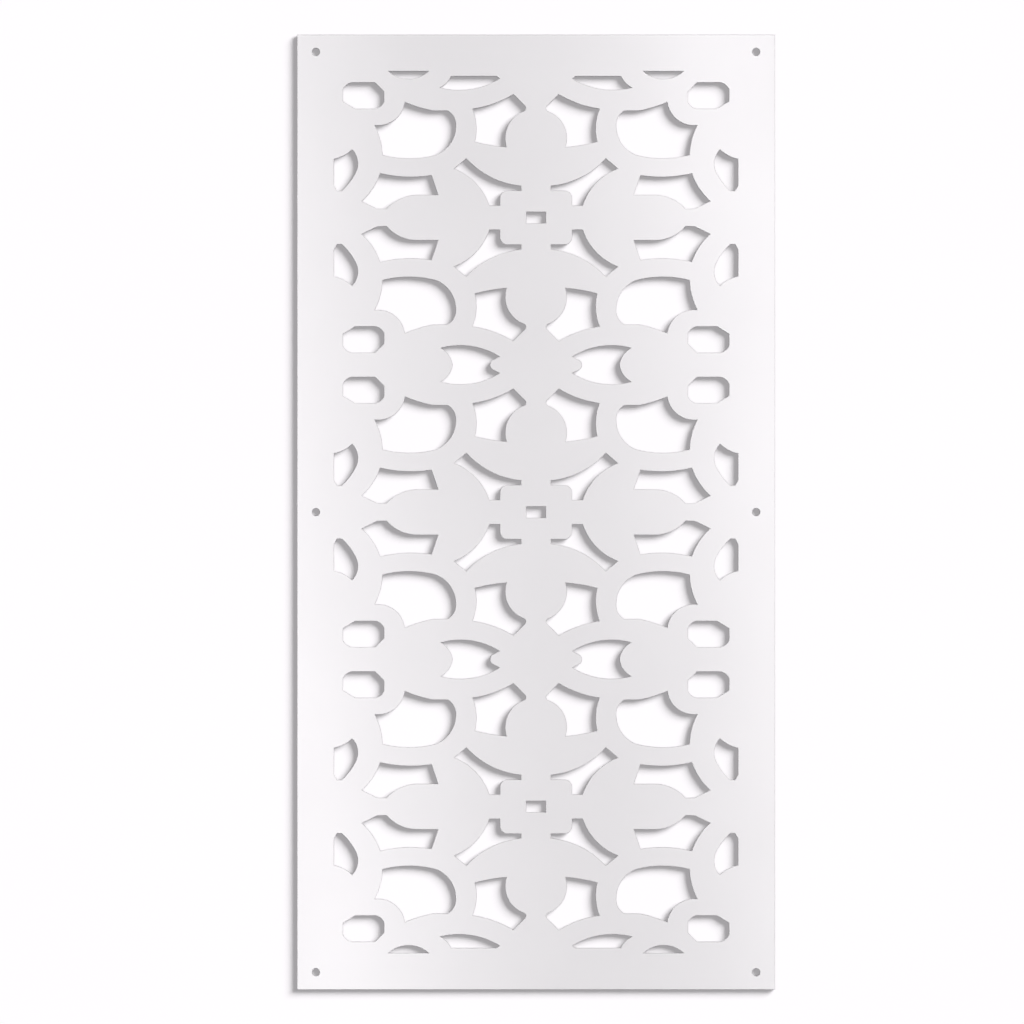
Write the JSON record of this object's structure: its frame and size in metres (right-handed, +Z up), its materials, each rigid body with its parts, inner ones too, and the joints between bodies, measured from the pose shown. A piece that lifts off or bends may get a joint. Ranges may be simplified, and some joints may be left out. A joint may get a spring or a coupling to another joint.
{
  "type": "perforated privacy screen panel",
  "caption": "Flat white screen panel of skinned sheet with a mirrored floral fretwork cut right through it and fixing holes near its edges, to divide a space or hide a view.",
  "frame": {"origin": "centre of the fixing hole pattern, on the rear face that lies against the support", "axes": "+Z up the panel's height, +X to the right seen from the front, the front faces -Y"},
  "size_m": [0.61, 0.006, 1.219],
  "materials": {
    "coated_skin": "satin",
    "core_sheet": "matte"
  },
  "bodies": {
    "root": {"front_skin": "coated_skin", "core": "core_sheet", "rear_skin": "coated_skin"}
  },
  "joints": []
}
